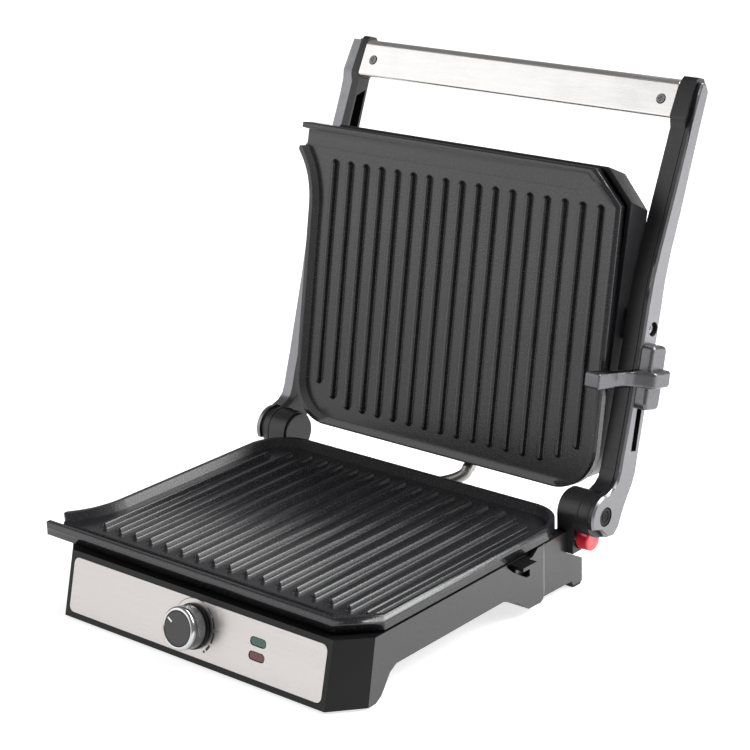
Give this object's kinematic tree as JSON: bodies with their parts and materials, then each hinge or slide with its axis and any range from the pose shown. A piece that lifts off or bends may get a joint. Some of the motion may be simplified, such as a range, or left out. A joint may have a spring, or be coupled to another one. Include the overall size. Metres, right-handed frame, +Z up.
{
  "type": "panini press",
  "caption": "Contact grill with ribbed non-stick plates, floating upper head on two arms with a cross handle, lid lock, flat-opening button, thermostat knob and indicator lamps.",
  "frame": {"origin": "centre of the bounding footprint, at the level the feet stand on", "axes": "+Z up, the control panel and drip lip face -Y, +X is the side with the lock lever and the release button; stored with the lid open at about 100 degrees from closed"},
  "size_m": [0.3594, 0.4238, 0.37],
  "materials": {
    "nonstick": "cast aluminium with a charcoal speckled non-stick coat, satin",
    "black_plastic": "moulded black heat-resistant plastic, fine texture",
    "silver_plastic": "silver painted plastic, fine metallic grain, satin",
    "stainless": "brushed stainless steel",
    "knob_chrome": "bright plated, knurled skirt",
    "green_lens": "dark green translucent lens",
    "red_lens": "dark red translucent lens",
    "red_plastic": "glossy red plastic",
    "rubber": "soft black rubber",
    "screw_steel": "zinc plated steel",
    "black_screw": "blackened steel",
    "heater_steel": "heat-tinted stainless sheath",
    "reflector_aluminium": "pressed bright sheet",
    "conduit_steel": "galvanised spiral conduit",
    "ceramic": "off-white ceramic and moulding compound",
    "lamp_glass": "small neon lamp",
    "white_mark": "white inlay"
  },
  "bodies": {
    "base": {"lower_plate": "nonstick", "base_housing": "black_plastic", "base_cover": "black_plastic", "cover_screw_1": "screw_steel", "cover_screw_2": "screw_steel", "cover_screw_3": "screw_steel", "cover_screw_4": "screw_steel", "control_panel": "stainless", "ready_lens": "green_lens", "power_lens": "red_lens", "ready_lamp": "lamp_glass", "power_lamp": "lamp_glass", "thermostat": "ceramic", "lower_heater": "heater_steel", "lower_reflector": "reflector_aluminium", "terminal_block": "ceramic", "cord_gland": "black_plastic", "conduit_bush_lower": "black_plastic", "foot_front_left": "rubber", "foot_front_right": "rubber", "foot_rear_left": "rubber", "foot_rear_right": "rubber", "hinge_block_left": "black_plastic", "hinge_block_right": "black_plastic", "hinge_pin_left": "screw_steel", "hinge_pin_right": "screw_steel", "button_spring": "screw_steel", "conduit": "conduit_steel"},
    "knob": {"thermostat_shaft": "screw_steel", "knob_collar": "black_plastic", "knob_ring": "knob_chrome", "knob_cap": "black_plastic", "knob_pointer": "white_mark"},
    "button": {"release_button": "red_plastic"},
    "arm_frame": {"left_arm": "black_plastic", "right_arm": "black_plastic", "left_arm_cover": "silver_plastic", "right_arm_cover": "silver_plastic", "handle_bar": "stainless", "handle_core": "black_plastic", "handle_screw_left": "black_screw", "handle_screw_right": "black_screw", "hinge_screw_left": "black_screw", "hinge_screw_right": "black_screw", "float_pin_left": "screw_steel", "float_pin_right": "screw_steel"},
    "lever": {"lock_lever": "silver_plastic"},
    "upper_head": {"upper_plate": "nonstick", "upper_housing": "black_plastic", "top_panel": "stainless", "upper_heater": "heater_steel", "upper_reflector": "reflector_aluminium", "thermal_fuse": "ceramic", "conduit_bush_upper": "black_plastic"}
  },
  "joints": [
    {"name": "lid_hinge", "type": "hinge", "parent": "base", "child": "arm_frame", "pos_m": [0, 0.07588, 0.0612], "axis": [-1, 0, 0], "range_deg": [-100.07, 75], "deforming": ["conduit"]},
    {"name": "head_float", "type": "hinge", "parent": "arm_frame", "child": "upper_head", "pos_m": [0, 0.13758, 0.192], "axis": [1, 0, 0], "range_deg": [0, 8]},
    {"name": "lock_slide", "type": "slide", "parent": "arm_frame", "child": "lever", "axis": [0, -0.2447, -0.9696], "range_m": [0, 0.028]},
    {"name": "knob_turn", "type": "hinge", "parent": "base", "child": "knob", "pos_m": [-0.0075, -0.1938, 0.0276], "axis": [0, 0.9686, -0.2486], "range_deg": [0, 190]},
    {"name": "button_press", "type": "slide", "parent": "base", "child": "button", "axis": [-1, 0, 0], "range_m": [0, 0.005], "stiffness_N_per_m": 400, "deforming": ["button_spring"]}
  ]
}
